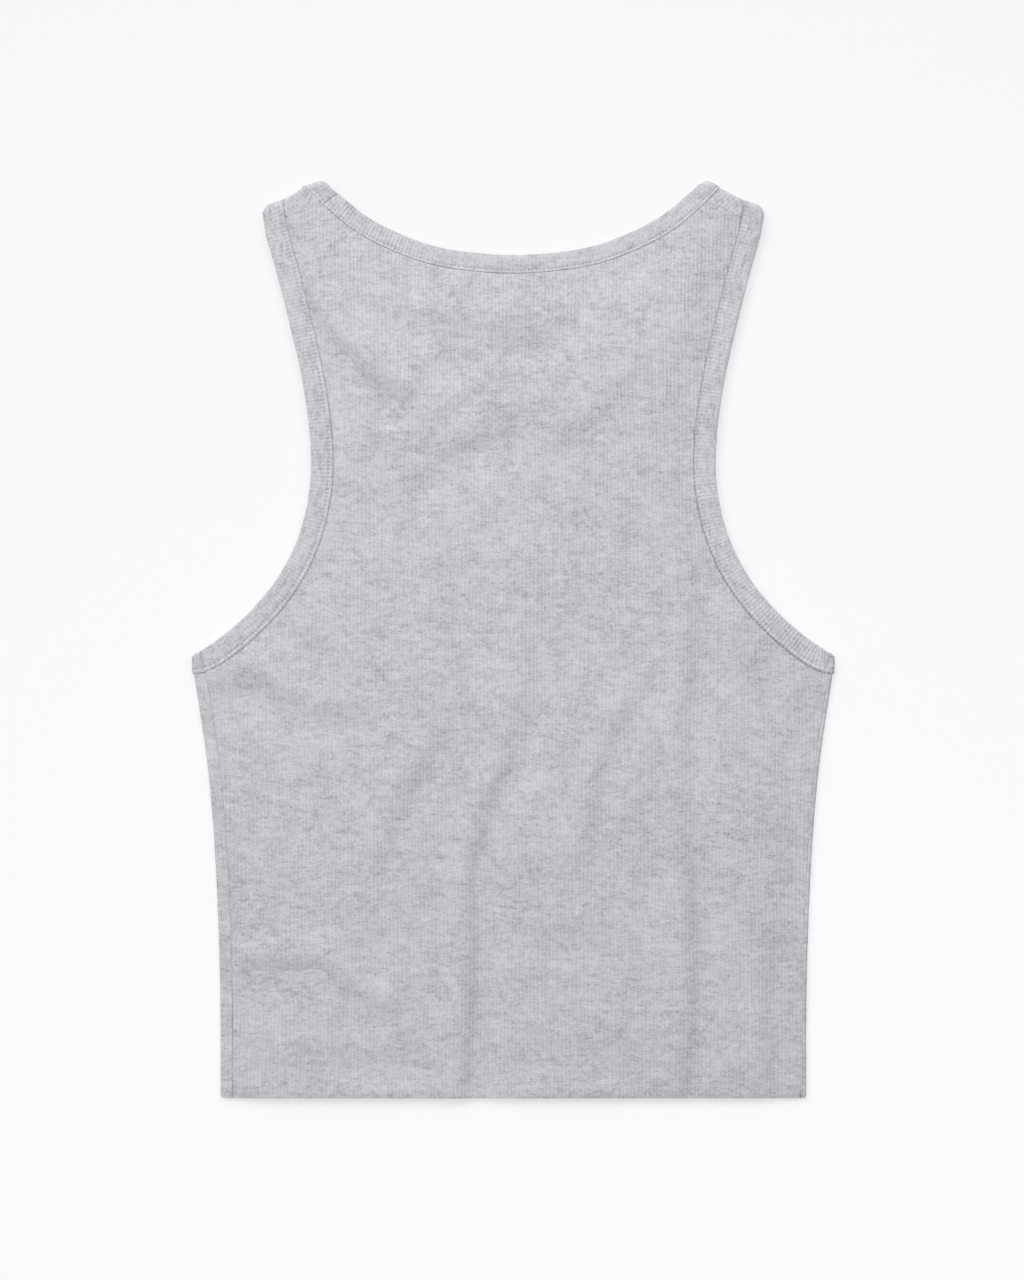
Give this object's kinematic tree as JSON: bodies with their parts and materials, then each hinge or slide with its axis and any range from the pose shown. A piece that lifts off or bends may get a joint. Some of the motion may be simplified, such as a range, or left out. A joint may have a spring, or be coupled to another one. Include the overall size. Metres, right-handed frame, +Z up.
{
  "type": "tank top",
  "caption": "Cropped sleeveless tank top in fine rib knit with bound neck and armholes, laid out flat with its back uppermost.",
  "frame": {"origin": "middle of the footprint, on the surface that the top lies on", "axes": "+Y from the hem to the shoulders, +X to the right with the back panel uppermost, +Z up from the surface"},
  "size_m": [0.3366, 0.48, 0.0047],
  "materials": {
    "rib_back": "matt heather cotton rib knit",
    "rib_front": "matt heather cotton rib knit",
    "binding": "matt heather cotton rib knit, folded double and stitched"
  },
  "bodies": {
    "root": {"back_panel": "rib_back", "front_panel": "rib_front", "neck_binding": "binding", "armhole_binding_left": "binding", "armhole_binding_right": "binding"}
  },
  "joints": []
}
